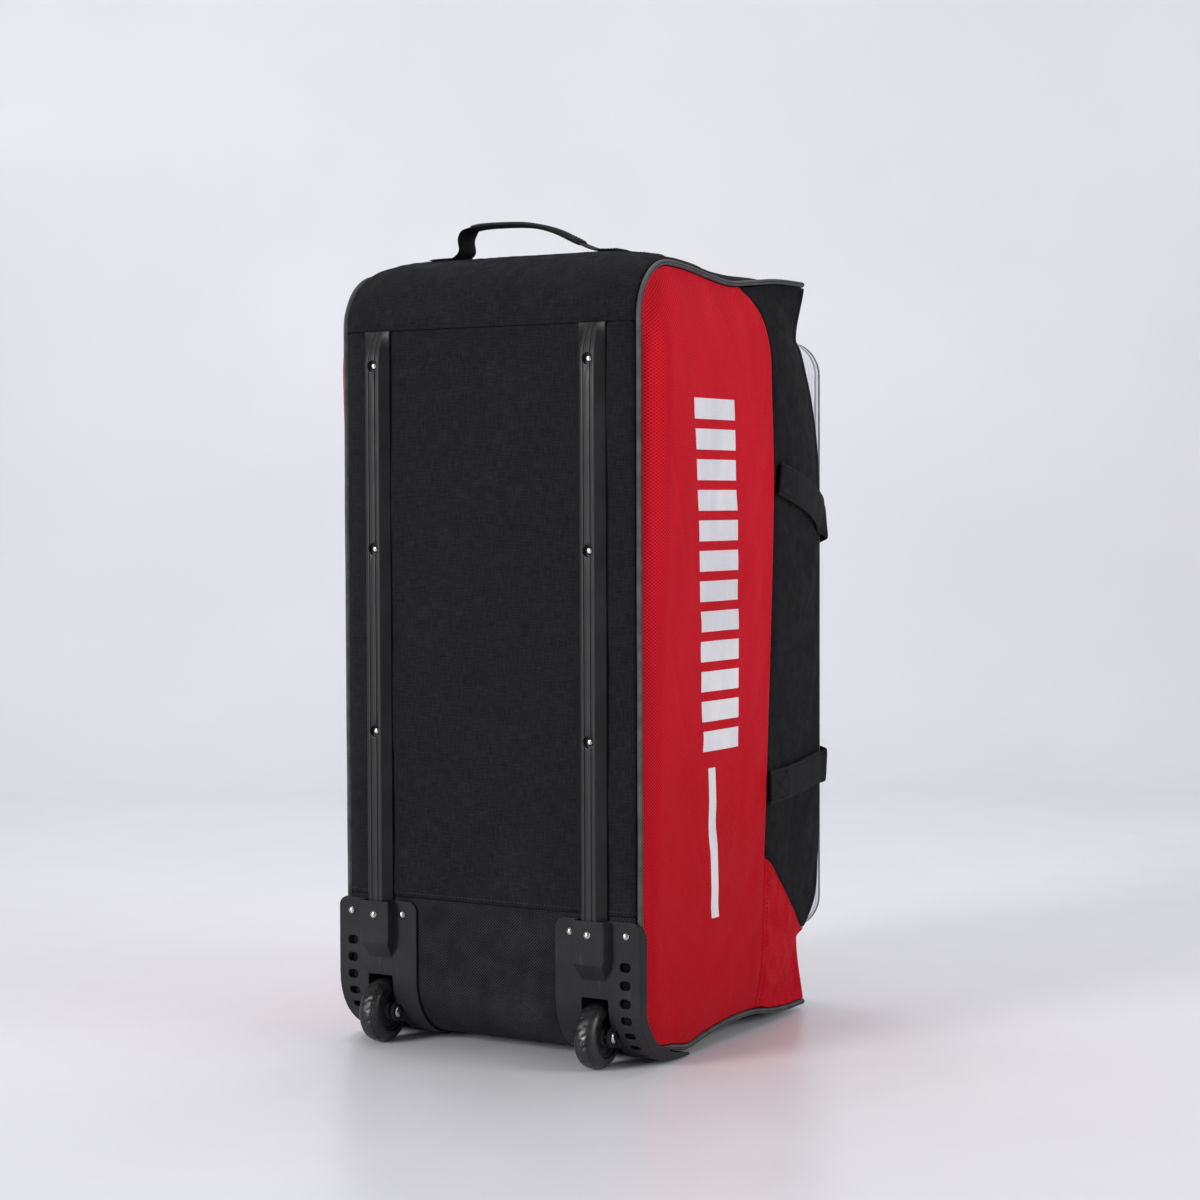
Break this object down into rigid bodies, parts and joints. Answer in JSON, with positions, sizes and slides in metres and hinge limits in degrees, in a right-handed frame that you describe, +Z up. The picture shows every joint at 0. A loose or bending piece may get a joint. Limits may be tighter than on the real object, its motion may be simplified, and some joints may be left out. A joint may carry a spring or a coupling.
{
  "type": "wheeled cricket kit bag",
  "caption": "Tall soft kit bag standing on its wheel end, with skid rails, moulded wheel guards, piped side panels, a raised zip lid and webbing handles.",
  "frame": {"origin": "centre of the bag's footprint, on the surface that it stands on", "axes": "+X across the bag to its right side seen from the rails, +Y from the rails to the lid, +Z up along the rails"},
  "size_m": [0.4298, 0.503, 0.9053],
  "materials": {
    "black_cloth": "woven",
    "black_mesh": "mesh weave",
    "red_mesh": "diamond mesh weave",
    "red_weave": "plain weave",
    "pale_tape": "smooth tape",
    "grey_piping": "woven",
    "dark_piping": "woven",
    "guard_plastic": "grained",
    "rail_plastic": "satin",
    "rubber": "matt",
    "hub_plastic": "satin",
    "chrome": "polished",
    "webbing": "ribbed webbing"
  },
  "bodies": {
    "bag": {"back_panel": "black_cloth", "lower_back_panel": "black_mesh", "top_wrap_panel": "black_cloth", "top_end_panel": "black_cloth", "bottom_end_panel": "black_cloth", "lid_wall": "pale_tape", "lid_piping": "dark_piping", "lid_panel": "black_cloth", "top_border": "black_cloth", "bottom_border": "red_weave", "top_handle": "webbing", "side_panel_right": "red_mesh", "side_front_panel_right": "black_cloth", "corner_patch_right": "red_weave", "piping_right": "grey_piping", "rail_right": "rail_plastic", "wheel_guard_right": "guard_plastic", "carry_handle_right": "webbing", "axle_right": "chrome", "rail_rivet_right_1": "chrome", "rail_rivet_right_2": "chrome", "rail_rivet_right_3": "chrome", "guard_rivet_right_1": "chrome", "guard_rivet_right_2": "chrome", "guard_rivet_right_3": "chrome", "side_panel_left": "red_mesh", "side_front_panel_left": "black_cloth", "corner_patch_left": "red_weave", "piping_left": "grey_piping", "rail_left": "rail_plastic", "wheel_guard_left": "guard_plastic", "carry_handle_left": "webbing", "axle_left": "chrome", "rail_rivet_left_1": "chrome", "rail_rivet_left_2": "chrome", "rail_rivet_left_3": "chrome", "guard_rivet_left_1": "chrome", "guard_rivet_left_2": "chrome", "guard_rivet_left_3": "chrome"},
    "wheel_right": {"tyre_right": "rubber", "hub_right": "hub_plastic"},
    "wheel_left": {"tyre_left": "rubber", "hub_left": "hub_plastic"}
  },
  "joints": [
    {"name": "wheel_right_spin", "type": "hinge", "parent": "bag", "child": "wheel_right", "pos_m": [0.138, -0.21648, 0.035], "axis": [1, 0, 0], "continuous": true},
    {"name": "wheel_left_spin", "type": "hinge", "parent": "bag", "child": "wheel_left", "pos_m": [-0.138, -0.21648, 0.035], "axis": [1, 0, 0], "continuous": true}
  ]
}
